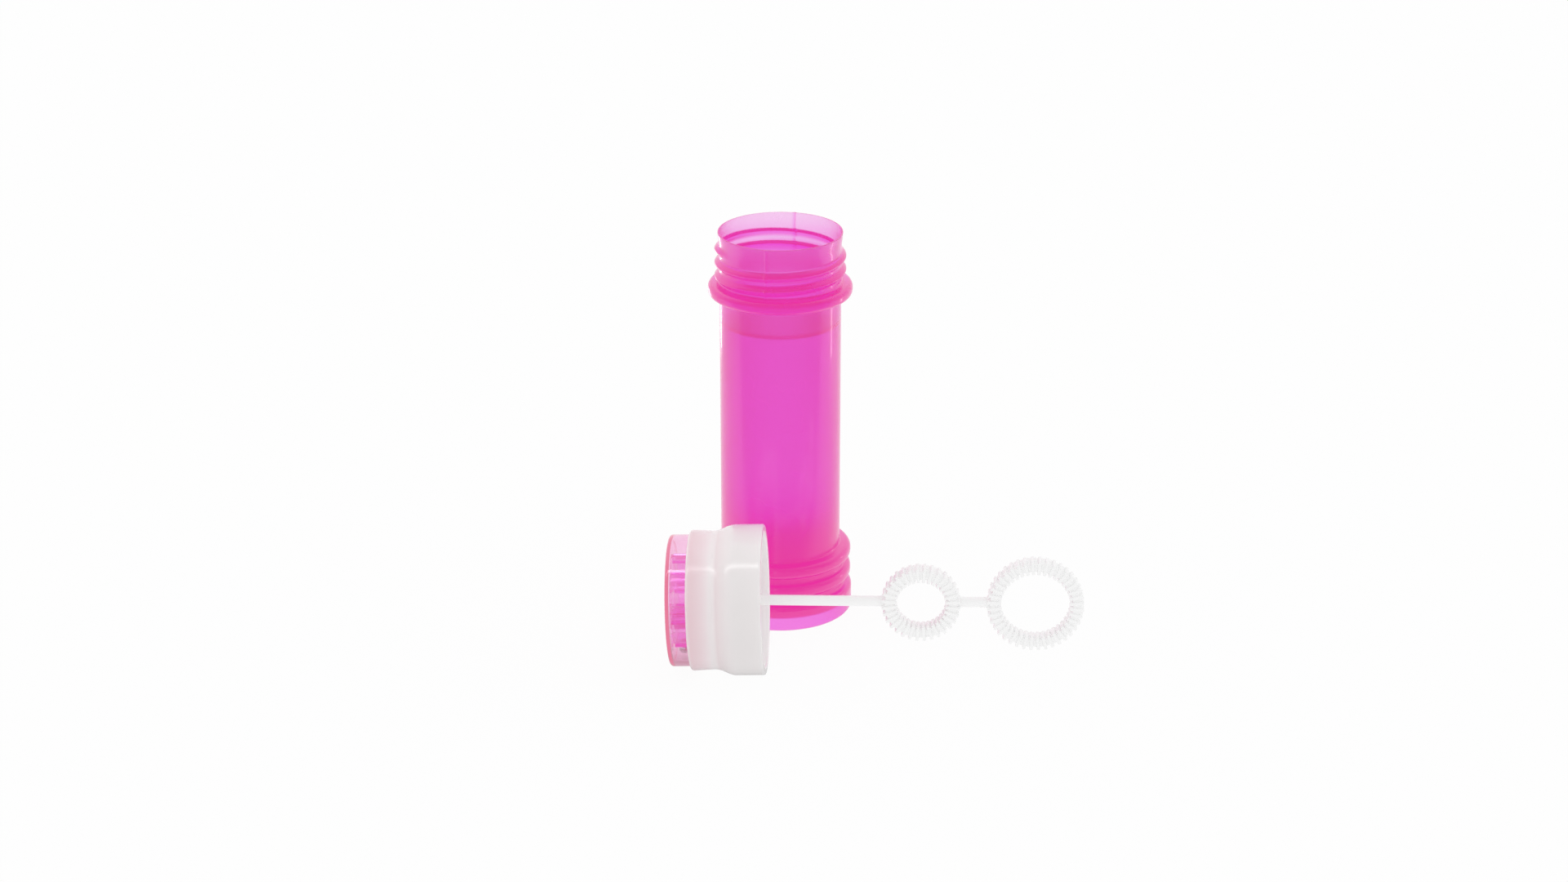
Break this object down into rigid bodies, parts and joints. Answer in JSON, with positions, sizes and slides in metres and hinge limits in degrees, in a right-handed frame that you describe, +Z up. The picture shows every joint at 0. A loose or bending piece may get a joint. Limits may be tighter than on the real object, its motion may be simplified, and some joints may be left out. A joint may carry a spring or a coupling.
{
  "type": "bubble wand set",
  "caption": "Transparent tube bottle with a ribbed foot, and its screw cap laid beside it, which carries a ball maze and a wand with finned rings for blowing bubbles.",
  "frame": {"origin": "centre of the bottle's foot, on the table", "axes": "+Z up along the bottle, -Y towards the cap that lies in front, +X along the wand to its tip"},
  "size_m": [0.105, 0.0783, 0.1036],
  "materials": {
    "clear_pink": "transparent, glossy",
    "milky_white": "natural, translucent, satin",
    "foam": "closed-cell foam",
    "clear_pink_maze": "transparent, glossy",
    "clear_pink_lens": "transparent, glossy",
    "steel": "polished",
    "wand_white": "satin"
  },
  "bodies": {
    "bottle": {"bottle": "clear_pink"},
    "cap": {"cap_shell": "milky_white", "seal_ring": "foam", "game_tray": "clear_pink_maze", "game_lens": "clear_pink_lens", "wand": "wand_white"},
    "ball": {"game_ball": "steel"}
  },
  "joints": [
    {"name": "cap_lift", "type": "slide", "parent": "bottle", "child": "cap", "axis": [0, 0, 1], "range_m": [0, 0.15]},
    {"name": "ball_roll", "type": "hinge", "parent": "cap", "child": "ball", "pos_m": [-0.0038, -0.04045, 0.01926], "axis": [-0.9981, 0.0506, -0.0345], "continuous": true}
  ]
}
